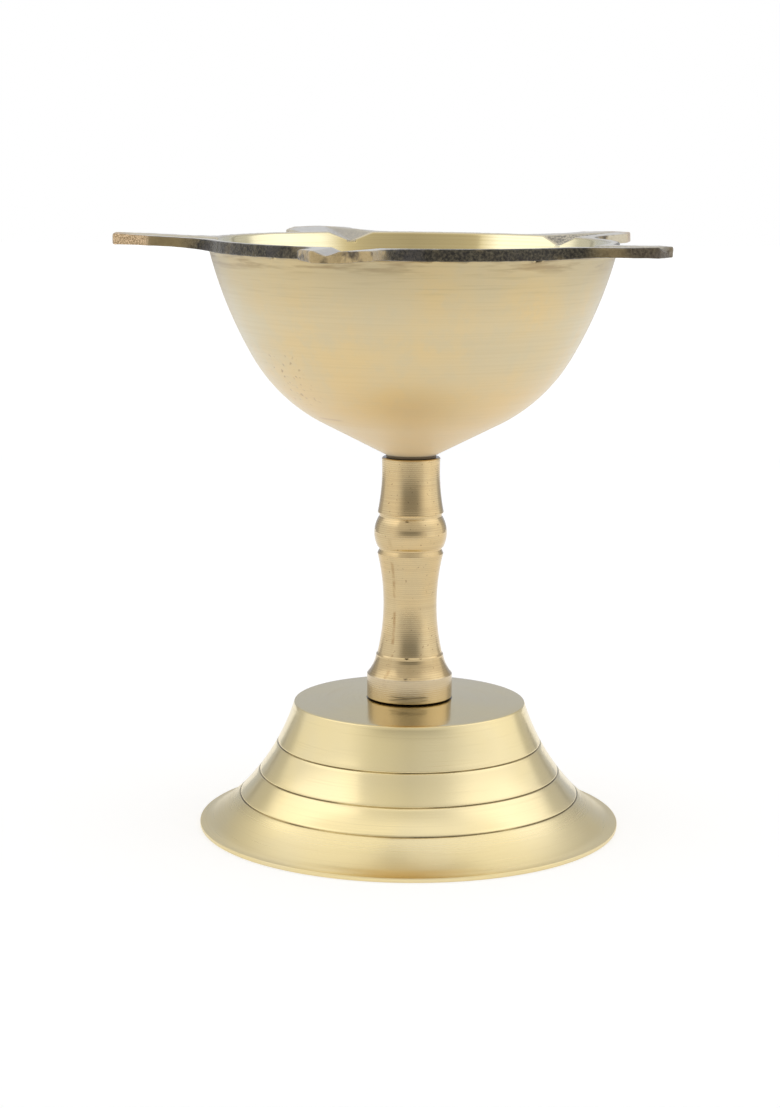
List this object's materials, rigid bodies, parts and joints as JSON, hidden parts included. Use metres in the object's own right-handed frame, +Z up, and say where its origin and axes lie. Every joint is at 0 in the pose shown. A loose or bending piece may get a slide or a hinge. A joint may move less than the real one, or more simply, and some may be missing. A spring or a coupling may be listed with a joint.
{
  "type": "butter lamp",
  "caption": "Brass butter lamp on a stand: a deep cast bowl with grooved wick spouts around its rim, screwed to a turned stem and a hollow flared base with incised rings.",
  "frame": {"origin": "on the lamp's vertical axis, in the plane that the base stands on", "axes": "+Z up along the axis, +X to the right and +Y away from the viewer in the reference picture"},
  "size_m": [0.1155, 0.1189, 0.1286],
  "materials": {
    "base_brass": "turned and polished",
    "stem_brass": "turned, fine tool lines left",
    "bowl_brass": "turned satin outside, polished inside, rim edge as cast",
    "fastener_steel": "zinc plated"
  },
  "bodies": {
    "base": {"base": "base_brass", "base_washer": "fastener_steel", "base_nut": "fastener_steel"},
    "base_stud": {"base_stud": "fastener_steel"},
    "stem": {"stem": "stem_brass"},
    "bowl_stud": {"bowl_stud": "fastener_steel"},
    "bowl": {"bowl": "bowl_brass"}
  },
  "joints": [
    {"name": "stem_rise", "type": "slide", "parent": "base", "child": "base_stud", "axis": [0, 0, 1], "range_m": [0, 0.0065]},
    {"name": "stem_turn", "type": "hinge", "parent": "base_stud", "child": "stem", "pos_m": [0, 0, 0.0281], "axis": [0, 0, 1], "range_deg": [0, 2340]},
    {"name": "bowl_rise", "type": "slide", "parent": "stem", "child": "bowl_stud", "axis": [0, 0, 1], "range_m": [0, 0.0065]},
    {"name": "bowl_turn", "type": "hinge", "parent": "bowl_stud", "child": "bowl", "pos_m": [0, 0, 0.0813], "axis": [0, 0, 1], "range_deg": [0, 2340]}
  ],
  "couplings": [
    {"joint": "stem_turn", "follows": "stem_rise", "rad_per_m": 6283.2},
    {"joint": "bowl_turn", "follows": "bowl_rise", "rad_per_m": 6283.2}
  ]
}
